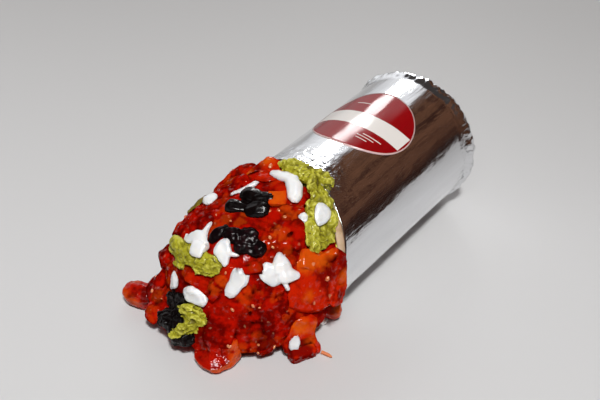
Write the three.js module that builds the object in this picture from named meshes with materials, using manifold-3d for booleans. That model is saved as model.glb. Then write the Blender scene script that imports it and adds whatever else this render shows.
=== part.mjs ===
// A burrito in foil, lying on its side, with its filling spilling out of the open end.
//
// The roll lies along Y with its closed end at +Y, and X is to its right. All sizes are
// millimetres. While the pieces are made, the middle of the open mouth is over the origin
// and the table is z = 0; the group is moved at the end so that the middle of the whole
// piece's footprint is the origin.

import * as THREE from "three";
import { mergeVertices } from "three/addons/utils/BufferGeometryUtils.js";
import Module from "manifold-3d";

const wasm = await Module();
wasm.setup();

// ---------------------------------------------------------------- driving dimensions

const ROLL_RADIUS = 35; // outside of the foil
const AXIS_HEIGHT = 34.6; // a little under the radius: the roll rests on a flat strip
const ROLL_END = 113; // closed end, measured from the mouth
const END_ROUNDING = 5; // how far the folded end bulges past the straight wall
const END_PLEAT = 0.4; // depth of the pleats in the folded end
const CREASE_DEPTH = 0.25; // of the foil's creases
const CREASE_LENGTH = 20; // how far they run from the mouth and from the closed end
const MOUTH_SLANT = 0.25; // the mouth leans back by this much per mm, up and to the left
const FOIL_THICKNESS = 0.8; // two turns of foil
const TORTILLA_THICKNESS = 2;
const TORTILLA_LIP = 2.5; // how far the tortilla stands out of the foil
const GAP = 0.3; // clearance between neighbours in the roll
const BED_GAP = 0.5; // clearance under and between the uneven pieces of the filling
const ROLL_SIDES = 36;
const ROLL_STATIONS = 6; // rings along the foil's straight wall
const CORE_START = 4; // the rolled filling begins this far inside the mouth
const SLEEVE_DEPTH = 50; // how far into the roll the heap is kept off the tortilla
const LAYER_STEPS = 6; // corners along a layer inside the roll

const LABEL_RADIUS = 26; // a round sticker of two inches
const LABEL_THICKNESS = 0.5;
const LABEL_AT = 61; // its centre, measured from the mouth

const TORTILLA_INSET = FOIL_THICKNESS + GAP;
const CORE_INSET = TORTILLA_INSET + TORTILLA_THICKNESS + GAP;

// The heap in front of the mouth: rounded masses that run into each other.
const HEAP_CENTRE = new THREE.Vector3(-8, -18, 22);
const HEAP_MASSES = [
  { at: [-4, -2, 37], radii: [36, 34, 32] }, // shoulder filling the mouth
  { at: [-11, -26, 29], radii: [34, 30, 31] }, // the slope
  { at: [-17, -32, 9], radii: [36, 32, 10] }, // skirt on the table
  { at: [-1, -21, 14], radii: [31, 19, 14] }, // foot under the mouth
];
const HEAP_BLEND = 5; // how softly the masses run together
const HEAP_REACH = 110; // longer than any ray from the centre to the surface
const HEAP_DETAIL = 6; // subdivision of the sphere that is drawn out to the surface
const HEAP_RELIEF = 0.7; // height of the uneven surface

const SPREAD_SIDES = 16; // corners round a spread's edge
const PLATE_SIDES = 18; // corners round a plate's edge
const FACE_TOLERANCE = 0.2; // faces that depart less than this from flat are joined

const COLOURS = {
  foil: { color: "#c9ccd0", roughness: 0.2, metalness: 1 },
  label: { color: "#8e0c18", roughness: 0.3, metalness: 0 },
  tortilla: { color: "#d9b78e", roughness: 0.7, metalness: 0 },
  sauce: { color: "#9c1608", roughness: 0.25, metalness: 0 },
  guacamole: { color: "#b0aa34", roughness: 0.4, metalness: 0 },
  beans: { color: "#160e0d", roughness: 0.3, metalness: 0 },
  cream: { color: "#f8f4ee", roughness: 0.3, metalness: 0 },
  pepper: { color: "#cf4a0c", roughness: 0.25, metalness: 0 },
  tomato: { color: "#b31c08", roughness: 0.2, metalness: 0 },
};

// ---------------------------------------------------------------- toppings
// A dollop runs from one point to another over the heap. lift is how far it stands
// proud, bow how far its middle swings sideways, on how far it is raised off the heap
// by what lies under it. A free dollop lies where it is given, flat on the table.
// A spread lies round a middle point: reach is how far its edge is from there in evenly
// spaced directions, from the right round by downhill. A plate is a thick flat piece
// with the given outline, and a block is a cut dice. A layer is the part of a topping that
// runs on along the roll's inner wall, from ahead of the mouth's middle to an end.
// Toppings further down the list lie on top of those above them.

// Lumps and strips too small to come off by themselves: they are part of the filling.
const LUMPS = [
  { from: [-37, -40, 38], to: [-40, -44, 24], width: 10, lift: 3.5 },
  { from: [-41, -43, 27], to: [-45, -45, 14], width: 10, lift: 3 },
  { from: [-49, -38, 14], to: [-36, -53, 16], width: 12, lift: 3 },
  { from: [-38, -53, 14], to: [-35, -60, 6], width: 8, lift: 3 },
  { from: [13, -42, 8], to: [16, -48, 4], width: 7, lift: 3, free: true },
  { from: [-35, -6, 58], to: [-27, -2, 63], width: 8, lift: 2 },
  { from: [-29, -2, 62], to: [-20, 0, 66], width: 8, lift: 2 },
  { from: [15, -16, 62], to: [22, -24, 51], width: 5, lift: 2.5 },
  { from: [-28, -11, 61], to: [-14, -13, 67], width: 4.5, lift: 2 },
  { from: [7, -19, 64], to: [17, -11, 63], width: 3.5, lift: 2 },
  { from: [13, -17, 63], to: [13, -29, 56], width: 5, lift: 2.5 },
  { from: [13, -46, 37], to: [22, -36, 37], width: 5, lift: 2 },
  { from: [-5, -56, 36], to: [0, -52, 43], width: 4, lift: 1.5 },
  { from: [9, -52, 30], to: [11, -48, 39], width: 5, lift: 1.5 },
];

const TOPPINGS = [
  {
    name: "guacamole_mouth",
    finish: "guacamole",
    layer: { fromAngle: 6, toAngle: 72, depth: 8, ahead: 5, end: 96 },
    parts: [
      { from: [-10, 6, 69], to: [12, 3, 68], width: 13, lift: 5, sink: 4, on: 1 },
      { from: [4, 3, 70], to: [19, 8, 68], width: 9, lift: 4.5, sink: 6, free: true, taper: -0.4 },
      { from: [10, 0, 67], to: [25, -2, 62], width: 9, lift: 4.5, sink: 4, on: 1 },
      {
        at: [23, -10, 58],
        reach: [9, 11, 14, 14, 11, 8, 8, 11, 15, 16, 12, 10],
        lift: 3,
        sink: 5,
      },
    ],
  },
  {
    name: "guacamole_left",
    finish: "guacamole",
    parts: [
      { from: [-39, -41, 40], to: [-12, -52, 46], width: 11, lift: 4, bow: -1 },
      { from: [-18, -51, 45], to: [-1, -50, 47], width: 12, lift: 4 },
      { from: [-30, -50, 38], to: [-20, -52, 41], width: 5, lift: 2.5, taper: 0.5 },
    ],
  },
  {
    name: "guacamole_patch",
    finish: "guacamole",
    parts: [{ from: [-41, -27, 48], to: [-33, -20, 55], width: 7, lift: 2 }],
  },
  {
    name: "beans_top",
    finish: "beans",
    parts: [
      { from: [-15, -30, 62], to: [-5, -25, 64], width: 8, lift: 3.5 },
      { from: [-13, -21, 65], to: [-2, -19, 66], width: 9, lift: 3.5 },
      { from: [-6, -22, 65], to: [3, -17, 66], width: 9, lift: 3.5, on: 0.5 },
      { from: [-6, -28, 62], to: [4, -22, 64], width: 9, lift: 3.5 },
    ],
  },
  {
    name: "beans_middle",
    finish: "beans",
    parts: [
      { from: [-12, -46, 53], to: [-7, -37, 59], width: 6, lift: 3, bow: -1 },
      { from: [-8, -41, 56], to: [0, -37, 57], width: 9, lift: 3.5 },
      { from: [-2, -38, 57], to: [7, -34, 57], width: 9, lift: 3 },
      { from: [-1, -43, 54], to: [6, -38, 56], width: 9, lift: 3.5 },
      { from: [3, -40, 54], to: [11, -35, 53], width: 9, lift: 3 },
    ],
  },
  {
    name: "beans_front",
    finish: "beans",
    parts: [
      { from: [-32, -52, 19], to: [-15, -54, 26], width: 10, lift: 4, sink: 4 },
      { from: [-29, -55, 13], to: [-11, -57, 19], width: 12, lift: 4.5, sink: 4 },
      { from: [-24, -58, 10], to: [-8, -58, 13], width: 9, lift: 3.5, sink: 4 },
    ],
  },
  {
    name: "guacamole_front",
    finish: "guacamole",
    parts: [
      { from: [-23, -56, 21], to: [-10, -57, 26], width: 6, lift: 5.5, taper: 0.5 },
      { from: [-12, -57, 26], to: [-7, -59, 16], width: 9, lift: 5.5 },
      { from: [-19, -59, 17], to: [-9, -58, 22], width: 6, lift: 6.5, taper: 0.6 },
      { from: [-20, -62, 10], to: [-9, -59, 18], width: 8, lift: 7, taper: 0.6 },
    ],
  },
  {
    name: "tomato_left",
    finish: "tomato",
    parts: [
      { from: [-64, -48, 6], to: [-45, -46, 7], width: 13, lift: 5.5, sink: 7, free: true },
    ],
  },
  {
    name: "tomato_front",
    finish: "tomato",
    outline: [
      [-12, -60, 5],
      [-8, -66, 3],
      [1, -69.5, 3],
      [7, -67.5, 3],
      [10, -58, 5],
      [9, -54, 15],
      [-6, -58, 16],
    ],
    thick: 6,
    crown: 2,
  },
  {
    name: "tomato_side",
    finish: "tomato",
    parts: [{ from: [20, -7, 7], to: [30, -2, 6], width: 9, lift: 4, sink: 6, free: true }],
  },
  {
    name: "pepper_top",
    finish: "pepper",
    outline: [
      [-21, -9, 66],
      [-16, 3, 71.5],
      [-8, 6, 70.5],
      [0, -2, 70],
      [-3, -9, 69],
      [-12, -13, 68],
    ],
    thick: 5,
    crown: 1,
  },
  {
    name: "pepper_right",
    finish: "pepper",
    outline: [
      [21, -28, 49],
      [28, -17, 48.5],
      [34, -9, 47],
      [38, -9, 41],
      [38, -15, 24],
      [32, -27, 21],
      [24, -38, 27],
      [21.5, -35, 38],
    ],
    thick: 6,
    crown: 1.5,
  },
  {
    name: "pepper_front",
    finish: "pepper",
    outline: [
      [26, -35, 21],
      [33, -27, 20],
      [33, -28, 10],
      [36, -27, 0.5],
      [28, -39, 0.5],
      [24, -41, 8],
    ],
    thick: 5,
    crown: 1,
  },
  {
    name: "pepper_cube",
    finish: "pepper",
    block: { at: [4, -17, 66], size: [8, 7, 6], turn: -26, lift: 2.6 },
  },
  {
    name: "pepper_strand",
    finish: "pepper",
    parts: [
      {
        from: [31, -30, 1.4],
        to: [42, -28, 1],
        width: 2,
        lift: 0.8,
        sink: 0.8,
        bow: -1.5,
        free: true,
      },
    ],
  },
  {
    name: "cream_shoulder",
    finish: "cream",
    parts: [{ at: [-27, -25, 59], reach: [4.5, 5, 4.5, 4, 4.5, 6, 5.5, 4, 4, 4.5], lift: 2.5 }],
  },
  {
    name: "cream_crescent",
    finish: "cream",
    parts: [{ from: [-18, -23, 64], to: [-9, -10, 67], width: 3.5, lift: 2, bow: 1.5 }],
  },
  {
    name: "cream_comma",
    finish: "cream",
    parts: [
      { from: [-8, -5, 70], to: [6, -4, 69], width: 6, lift: 2.5, on: 1.8 },
      { from: [-1, -4, 69], to: [10, -14, 65], width: 8, lift: 2.8, on: 1.5, bow: -2.5 },
      { from: [-4, -5, 69], to: [-2, -14, 68], width: 2.5, lift: 1.8, taper: 0.6 },
    ],
  },
  {
    name: "cream_mouth",
    finish: "cream",
    parts: [
      { at: [21, -9, 59], reach: [4, 3.5, 5.5, 4.5, 4.5, 5.5, 5, 5], lift: 2, on: 3, sink: 3 },
    ],
  },
  {
    name: "cream_drop",
    finish: "cream",
    parts: [{ at: [17, -15.5, 60.5], reach: [2.8, 3, 2.6, 2.6, 2.8, 3, 2.8, 2.6], lift: 2, on: 1 }],
  },
  {
    name: "cream_left",
    finish: "cream",
    parts: [
      {
        at: [-19, -45, 53],
        reach: [8, 8.5, 5.5, 3.5, 4.5, 8, 7, 4, 3.5, 3.5, 4, 5.5],
        lift: 2,
        on: 1.5,
        sink: 3,
      },
      { from: [-16, -46, 52], to: [-16, -37, 58], width: 3, lift: 2, on: 1, taper: -0.9 },
      { at: [-14, -48, 50], reach: [3.5, 4.5, 3.5, 4.5, 3.5, 4.5, 3.5, 4.5], lift: 2, on: 3.6, sink: 4 },
    ],
  },
  {
    name: "cream_centre",
    finish: "cream",
    parts: [
      {
        at: [-3, -46, 52],
        reach: [3, 3.5, 6.5, 5.5, 5, 5, 5, 5.5, 6.5, 6.5, 3.5, 3.5],
        lift: 2.2,
        on: 1.5,
        sink: 3,
      },
      { from: [-2, -46, 52], to: [3.5, -44, 52], width: 2.5, lift: 2, on: 2, taper: -0.8 },
    ],
  },
  {
    name: "cream_bean",
    finish: "cream",
    parts: [
      { at: [6, -49, 42], reach: [4, 3.5, 5, 9, 8.5, 5.5, 4.5, 5.5, 7.5, 8, 7, 5], lift: 2.4 },
    ],
  },
  {
    name: "cream_star",
    finish: "cream",
    parts: [
      { at: [16, -39, 44], reach: [7, 6, 4.5, 5, 6.5, 6.5, 5, 5.5], lift: 2.4, on: 0.5 },
      { from: [20, -36, 42], to: [16, -32, 53], width: 8.5, lift: 2.8, taper: -1.1, on: 0.5 },
      { from: [17, -37, 43], to: [24, -29, 42], width: 7, lift: 2.4, taper: -0.7, on: 2.5, sink: 4 },
      { from: [20, -36, 41], to: [22, -35, 36], width: 2.5, lift: 2, on: 1.5, sink: 3 },
    ],
  },
  {
    name: "cream_low",
    finish: "cream",
    parts: [{ at: [-13, -57, 31.5], reach: [8, 7.5, 4.5, 5, 7, 7, 5, 5, 5, 6], lift: 3 }],
  },
  {
    name: "cream_side",
    finish: "cream",
    parts: [{ at: [-27, -54, 31], reach: [3.5, 3.5, 4, 6, 4, 3, 5.5, 5], lift: 2 }],
  },
  {
    name: "cream_foot",
    finish: "cream",
    parts: [{ from: [27, -36, 14], to: [29, -40, 7], width: 6, lift: 2, sink: 2, free: true }],
  },
  {
    name: "cream_table",
    finish: "cream",
    parts: [{ from: [13, -12, 1], to: [26, -7, 1], width: 9, lift: 1.4, sink: 2, free: true }],
  },
];

// ---------------------------------------------------------------- joining and cutting

// Six times the volume that a mesh encloses, negative when its faces point inwards.
function enclosed(corners, triangles) {
  const corner = (index) => new THREE.Vector3().fromArray(corners, 3 * index);
  let sum = 0;
  for (let at = 0; at < triangles.length; at += 3) {
    const [a, b, c] = [corner(triangles[at]), corner(triangles[at + 1]), corner(triangles[at + 2])];
    sum += a.dot(b.cross(c));
  }
  return sum;
}

function solid(geometry) {
  const merged = mergeVertices(geometry, 1e-4);
  const vertProperties = new Float32Array(merged.getAttribute("position").array);
  const triVerts = new Uint32Array(merged.getIndex().array);
  if (enclosed(vertProperties, triVerts) < 0) {
    triVerts.reverse();
  }
  return new wasm.Manifold(new wasm.Mesh({ numProp: 3, vertProperties, triVerts }));
}

function bare(geometry) {
  geometry.deleteAttribute("normal");
  geometry.deleteAttribute("uv");
  return geometry;
}

function geometryOf(manifold) {
  const mesh = manifold.getMesh();
  const geometry = new THREE.BufferGeometry();
  geometry.setAttribute("position", new THREE.BufferAttribute(mesh.vertProperties, 3));
  geometry.setIndex(new THREE.BufferAttribute(mesh.triVerts, 1));
  geometry.computeVertexNormals();
  return geometry;
}

// The largest separate body: a cut may leave scraps beside it.
function mainBody(manifold) {
  const bodies = manifold.decompose();
  return bodies.reduce((best, body) => (body.volume() > best.volume() ? body : best));
}

function joined(solids) {
  return solids.reduce((whole, next) => whole.add(next));
}

function fromRings(rings, start, end) {
  // rings: arrays of points, all the same length, from one pole to the other
  const points = [start, ...rings.flat(), end];
  const sides = rings[0].length;
  const index = [];
  const at = (ring, side) => 1 + ring * sides + (side % sides);
  for (let side = 0; side < sides; side += 1) {
    index.push(0, at(0, side + 1), at(0, side));
    index.push(points.length - 1, at(rings.length - 1, side), at(rings.length - 1, side + 1));
  }
  for (let ring = 0; ring < rings.length - 1; ring += 1) {
    for (let side = 0; side < sides; side += 1) {
      const [a, b] = [at(ring, side), at(ring, side + 1)];
      const [c, d] = [at(ring + 1, side), at(ring + 1, side + 1)];
      index.push(a, b, c, b, d, c);
    }
  }
  const geometry = new THREE.BufferGeometry();
  const flat = points.flatMap((point) => [point.x, point.y, Math.max(point.z, 0)]);
  geometry.setAttribute("position", new THREE.Float32BufferAttribute(flat, 3));
  geometry.setIndex(index);
  return geometry;
}

function middleOf(points) {
  const sum = points.reduce((total, point) => total.add(point), new THREE.Vector3());
  return sum.divideScalar(points.length);
}

// ---------------------------------------------------------------- chance, the same each time

let seed = 20417;

function random() {
  seed = (seed * 1103515245 + 12345) % 2147483648;
  return seed / 2147483648;
}

function between(low, high) {
  return low + (high - low) * random();
}

// ---------------------------------------------------------------- the roll

// How far the foil stands out of a true tube at an angle from straight up and a distance
// along: small creases by the mouth, crumpled folds by the closed end.
function crumple(angle, along) {
  const byMouth = Math.max(0, 1 - Math.abs(along) / CREASE_LENGTH);
  const byEnd = Math.max(0, 1 - (ROLL_END - along) / CREASE_LENGTH);
  const creases = 1 + Math.sin(11 * angle);
  const folds = 2 + Math.sin(9 * angle) + Math.sin(13 * angle + 1);
  return CREASE_DEPTH * (byMouth * creases + byEnd * folds);
}

function mouthAt(x, z) {
  return MOUTH_SLANT * (z - AXIS_HEIGHT - x);
}

// Only the foil's own two faces are creased; what is inside it and on it is smooth.
function isFoil(inset) {
  return inset >= 0 && inset <= FOIL_THICKNESS;
}

// The corners lie half a step off the lowest line, so the roll rests on a flat strip.
function rollAngles() {
  return Array.from({ length: ROLL_SIDES }, (_, side) => ((side + 0.5) / ROLL_SIDES) * 2 * Math.PI);
}

// One ring of the roll at a share of the way from the mouth to the straight wall's end.
function rollRing(inset, share, front, back) {
  const plain = ROLL_RADIUS - inset;
  return rollAngles().map((angle) => {
    const start = mouthAt(plain * Math.sin(angle), AXIS_HEIGHT + plain * Math.cos(angle)) + front;
    const along = start + (back - start) * share;
    const radius = plain + (isFoil(inset) ? crumple(angle, along) : 0);
    const height = Math.max(AXIS_HEIGHT + radius * Math.cos(angle), inset);
    return new THREE.Vector3(radius * Math.sin(angle), along, height);
  });
}

// The same ring drawn in towards the axis and bulged back, for the closed end.
function endRing(ring, size, bulge, pleatDepth) {
  const angles = rollAngles();
  return ring.map((point, side) => {
    const pleat = pleatDepth * (1 + Math.sin(8 * angles[side]));
    return new THREE.Vector3(
      point.x * size,
      point.y + bulge + pleat,
      AXIS_HEIGHT + (point.z - AXIS_HEIGHT) * size,
    );
  });
}

function closedEnd(inset, back) {
  const last = rollRing(inset, 1, 0, back);
  const pleatDepth = isFoil(inset) ? END_PLEAT : 0;
  return [
    endRing(last, 0.965, END_ROUNDING * 0.45, 0),
    endRing(last, 0.9, END_ROUNDING * 0.75, pleatDepth * 0.5),
    endRing(last, 0.55, END_ROUNDING * 0.9, pleatDepth),
  ];
}

function rollWall(inset, front, back, stations) {
  const rings = [];
  for (let station = 0; station <= stations; station += 1) {
    rings.push(rollRing(inset, station / stations, front, back));
  }
  return rings;
}

function axisPoint(along) {
  return new THREE.Vector3(0, along, AXIS_HEIGHT);
}

// A cup: outer wall from the mouth to the end and inner wall back again.
function rollShell(inset, thickness, front, stations) {
  const back = ROLL_END - END_ROUNDING - inset;
  const within = inset + thickness;
  const outside = [...rollWall(inset, front, back, stations), ...closedEnd(inset, back)];
  const inside = [
    ...rollWall(within, front, back - thickness, stations),
    ...closedEnd(within, back - thickness),
  ];
  const rings = [...outside.reverse(), ...inside];
  return fromRings(
    rings,
    axisPoint(back + END_ROUNDING),
    axisPoint(back - thickness + END_ROUNDING),
  );
}

function rollCore(inset, front) {
  const back = ROLL_END - END_ROUNDING - inset;
  const rings = [...rollWall(inset, front, back, ROLL_STATIONS / 2), ...closedEnd(inset, back)];
  return fromRings(rings.reverse(), axisPoint(back + END_ROUNDING), axisPoint(front));
}

// Everything outside the inner wall, from the lip back: what the heap can't fill.
function rollSleeve(room) {
  const inner = rollWall(CORE_INSET + room, -TORTILLA_LIP - GAP - room, SLEEVE_DEPTH, 2);
  const outer = inner.map((ring) =>
    ring.map(({ x, y, z }) => {
      return new THREE.Vector3(x * 2, y + mouthAt(x, z), z * 2 - AXIS_HEIGHT);
    }),
  );
  return closedTube([...outer, ...inner.reverse()]);
}

function closedTube(walls) {
  // walls: rings that go out along one face and come back along the other
  const sides = walls[0].length;
  const index = [];
  for (let ring = 0; ring < walls.length; ring += 1) {
    for (let side = 0; side < sides; side += 1) {
      const next = (ring + 1) % walls.length;
      const [a, b] = [ring * sides + side, ring * sides + ((side + 1) % sides)];
      const [c, d] = [next * sides + side, next * sides + ((side + 1) % sides)];
      index.push(a, c, b, b, c, d);
    }
  }
  const geometry = new THREE.BufferGeometry();
  const flat = walls.flat().flatMap((point) => [point.x, point.y, point.z]);
  geometry.setAttribute("position", new THREE.Float32BufferAttribute(flat, 3));
  geometry.setIndex(index);
  return geometry;
}

// A sector of the filling that follows the inner wall from ahead of the mouth to an end.
function rollLayer({ fromAngle, toAngle, depth, ahead, end }, grow) {
  const outer = ROLL_RADIUS - CORE_INSET - BED_GAP + grow;
  const onArc = (radius, angle) => [radius * Math.sin(angle), AXIS_HEIGHT + radius * Math.cos(angle)];
  const arc = (radiusAt, share) => {
    const angle = THREE.MathUtils.degToRad(fromAngle + (toAngle - fromAngle) * share);
    return onArc(radiusAt(share), angle);
  };
  const inner = (share) => outer - 2 * grow - depth * (0.55 + 0.45 * Math.sin(Math.PI * share));
  const shares = Array.from({ length: LAYER_STEPS + 1 }, (_, step) => step / LAYER_STEPS);
  const section = [
    ...shares.map((share) => arc(() => outer, share)),
    ...shares.reverse().map((share) => arc(inner, share)),
  ];
  const front = section.map(([x, z]) => new THREE.Vector3(x, mouthAt(x, z) - ahead - grow, z));
  const back = section.map(([x, z]) => new THREE.Vector3(x, end + grow, z));
  return fromRings([front, back], middleOf(front), middleOf(back));
}

// ---------------------------------------------------------------- the heap

// Less than zero inside the heap, more outside, roughly in millimetres.
function heapDistance(point) {
  let sum = 0;
  for (const { at, radii } of HEAP_MASSES) {
    const q = new THREE.Vector3(
      (point.x - at[0]) / radii[0],
      (point.y - at[1]) / radii[1],
      (point.z - at[2]) / radii[2],
    );
    const length = q.length();
    const slope = Math.hypot(q.x / radii[0], q.y / radii[1], q.z / radii[2]);
    const distance = slope > 1e-9 ? (length * (length - 1)) / slope : -Math.min(...radii);
    sum += Math.exp(-distance / HEAP_BLEND);
  }
  return -HEAP_BLEND * Math.log(sum);
}

// How far the surface swells past the plain masses in a direction from the centre.
function swelling(direction) {
  const waves =
    Math.sin(19 * direction.x + 1.3) * Math.cos(17 * direction.y) +
    Math.sin(21 * direction.z + 0.4) * Math.cos(15 * direction.x + 2);
  return HEAP_RELIEF * waves;
}

// The point on the heap that lies in the direction of another point.
function heapSurface(towards, grow = 0) {
  const direction = towards.clone().sub(HEAP_CENTRE).normalize();
  const at = (length) => HEAP_CENTRE.clone().addScaledVector(direction, length);
  let [near, far] = [0, HEAP_REACH];
  for (let step = 0; step < 30; step += 1) {
    const middle = (near + far) / 2;
    const point = at(middle);
    const outside = heapDistance(point) > 0 || point.z < 0;
    [near, far] = outside ? [near, middle] : [middle, far];
  }
  const surface = at(near);
  const aboveTable = THREE.MathUtils.smoothstep(surface.z, 0.5, 6);
  return at(near + aboveTable * swelling(direction) + grow);
}

function heapNormal(point) {
  const step = 0.05;
  const slope = ["x", "y", "z"].map((axis) => {
    const [low, high] = [point.clone(), point.clone()];
    low[axis] -= step;
    high[axis] += step;
    return heapDistance(high) - heapDistance(low);
  });
  return new THREE.Vector3(...slope).normalize();
}

function heapBody(grow) {
  const geometry = mergeVertices(bare(new THREE.IcosahedronGeometry(1, HEAP_DETAIL)), 1e-4);
  const position = geometry.getAttribute("position");
  for (let index = 0; index < position.count; index += 1) {
    const direction = new THREE.Vector3().fromBufferAttribute(position, index);
    const point = heapSurface(HEAP_CENTRE.clone().add(direction), grow);
    position.setXYZ(index, point.x, point.y, Math.max(0, point.z));
  }
  return solid(geometry);
}

// ---------------------------------------------------------------- toppings, made

function vector(numbers) {
  return new THREE.Vector3(...numbers);
}

function dollop(part, grow) {
  const { from, to, width, lift, sink = 2, bow = 0, on = 0, taper = 0, free = false } = part;
  const [start, end] = [vector(from), vector(to)];
  const reach = end.clone().sub(start);
  const length = reach.length();
  const stations = length > 9 ? 6 : 4;
  const sides = width > 5 ? 8 : 6;
  const up = (point) => (free ? new THREE.Vector3(0, 0, 1) : heapNormal(point));
  const settle = (point) => (free ? point : heapSurface(point));
  const sideways = reach.clone().cross(up(start)).normalize();
  const place = (share) => {
    const swing = bow * 4 * share * (1 - share);
    const onLine = start.clone().addScaledVector(reach, share).addScaledVector(sideways, swing);
    const point = settle(onLine);
    return point.addScaledVector(up(point), on);
  };
  const rings = [];
  for (let station = 1; station < stations; station += 1) {
    const share = (1 - Math.cos((Math.PI * station) / stations)) / 2;
    const centre = place(share);
    const along = place(share + 0.02).sub(place(share - 0.02)).normalize();
    const normal = up(centre);
    const across = along.clone().cross(normal).normalize();
    const fullness = Math.pow(1 - Math.pow(Math.abs(2 * share - 1), 2.8), 1 / 2.8);
    const size = fullness * (1 + taper * (share - 0.5));
    const ring = [];
    for (let side = 0; side < sides; side += 1) {
      const turn = (side / sides) * 2 * Math.PI;
      const rise = Math.sin(turn) > 0 ? lift * size + grow : sink * fullness + grow;
      ring.push(
        centre
          .clone()
          .addScaledVector(across, Math.cos(turn) * ((width * size) / 2 + grow))
          .addScaledVector(normal, Math.sin(turn) * rise),
      );
    }
    rings.push(ring);
  }
  const beyond = grow / length;
  return solid(fromRings(rings, place(-beyond), place(1 + beyond)));
}

// The heap's directions at a point on it: out of it, to its right and downhill.
function heapFrame(point) {
  const normal = heapNormal(point);
  const downhill = new THREE.Vector3(0, -1, -1).projectOnPlane(normal).normalize();
  return { normal, downhill, side: normal.clone().cross(downhill) };
}

function closedCurve(points, count) {
  const curve = new THREE.CatmullRomCurve3(points, true, "catmullrom", 0.4);
  return curve.getSpacedPoints(count).slice(0, count);
}

function spread({ at, reach, lift, sink = 2, on = 0 }, grow) {
  const foot = heapSurface(vector(at));
  const { side, downhill } = heapFrame(foot);
  const corners = reach.map((length, index) => {
    const turn = (index / reach.length) * 2 * Math.PI;
    return new THREE.Vector3(length * Math.cos(turn), length * Math.sin(turn), 0);
  });
  const edge = closedCurve(corners, SPREAD_SIDES);
  const place = (flat, size, height) => {
    const reached = flat.length() * size + (height > -sink ? grow : 0);
    const offset = flat.clone().setLength(size > 0 ? reached : 0);
    const point = foot.clone().addScaledVector(side, offset.x).addScaledVector(downhill, offset.y);
    const settled = heapSurface(point);
    const swelling = height > 0 ? grow : -grow;
    return settled.addScaledVector(heapNormal(settled), on + height + swelling);
  };
  const levels = [
    { size: 0.6, height: lift },
    { size: 0.93, height: lift * 0.6 },
    { size: 0.9, height: -sink },
  ];
  const rings = levels.map(({ size, height }) => edge.map((flat) => place(flat, size, height)));
  const middle = new THREE.Vector3(1e-6, 0, 0);
  return solid(fromRings(rings, place(middle, 0, lift), place(middle, 0, -sink)));
}

function plate({ outline, thick, crown }, grow) {
  const corners = outline.map(vector);
  const centre = middleOf(corners);
  const normal = new THREE.Vector3();
  corners.forEach((corner, index) => {
    const next = corners[(index + 1) % corners.length];
    normal.add(corner.clone().sub(centre).cross(next.clone().sub(centre)));
  });
  normal.normalize();
  if (normal.dot(centre.clone().sub(HEAP_CENTRE)) < 0) {
    normal.negate();
    corners.reverse();
  }
  const edge = closedCurve(corners, PLATE_SIDES);
  const levels = [
    { size: 0.5, height: crown },
    { size: 0.88, height: crown * 0.6 },
    { size: 1, height: -thick * 0.3 },
    { size: 0.94, height: -thick },
    { size: 0.5, height: -thick },
  ];
  const rings = levels.map(({ size, height }) =>
    edge.map((point) => {
      const outward = point.clone().sub(centre);
      const reach = outward.length();
      return centre
        .clone()
        .addScaledVector(outward.normalize(), reach * size + grow)
        .addScaledVector(normal, height + (height > -thick * 0.5 ? grow : -grow));
    }),
  );
  const pole = (height) => centre.clone().addScaledVector(normal, height);
  return solid(fromRings(rings, pole(crown + grow), pole(-thick - grow)));
}

// A box standing on the heap, turned about the heap's normal.
function block({ at, size, turn, lift }, grow) {
  const foot = heapSurface(vector(at));
  const { normal, side, downhill } = heapFrame(foot);
  const sides = size.map((side) => side + 2 * grow);
  const geometry = bare(new THREE.BoxGeometry(...sides));
  geometry.rotateZ(THREE.MathUtils.degToRad(turn));
  geometry.translate(0, 0, lift - size[2] / 2);
  geometry.applyMatrix4(new THREE.Matrix4().makeBasis(side, downhill, normal));
  geometry.translate(foot.x, foot.y, foot.z);
  return solid(geometry);
}

function topping(kind, grow = 0) {
  if (kind.outline) {
    return plate(kind, grow);
  }
  if (kind.block) {
    return block(kind.block, grow);
  }
  const parts = kind.parts.map((part) => (part.reach ? spread(part, grow) : dollop(part, grow)));
  if (kind.layer) {
    parts.push(solid(rollLayer(kind.layer, grow)));
  }
  return joined(parts);
}

// ---------------------------------------------------------------- chopped pieces in the sauce

const CHOPPED_COUNT = 168; // directions tried round the heap
const CHOPPED_CLEAR = 1; // distance kept from a topping's edge
const PLATE_CLEAR = 12; // distance kept from a plate's corners and middle
const SHRED_SHARE = 0.45; // shreds among the blocks, the others are dice
const CHOPPED_DEPTH = 5;

function nearTopping(point) {
  return TOPPINGS.some(({ parts = [], outline, block: dice }) => {
    const middle = dice ? vector(dice.at) : undefined;
    if (middle && middle.distanceTo(point) < CHOPPED_CLEAR * 2) {
      return true;
    }
    if (outline) {
      const corners = outline.map(vector);
      return [...corners, middleOf(corners)].some((at) => at.distanceTo(point) < PLATE_CLEAR);
    }
    return parts.some(({ from, to, width, at, reach }) => {
      if (reach) {
        return vector(at).distanceTo(point) < Math.max(...reach) * 0.7 + CHOPPED_CLEAR;
      }
      const line = new THREE.Line3(vector(from), vector(to));
      const closest = line.closestPointToPoint(point, true, new THREE.Vector3());
      return closest.distanceTo(point) < width / 2 + CHOPPED_CLEAR;
    });
  });
}

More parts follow.
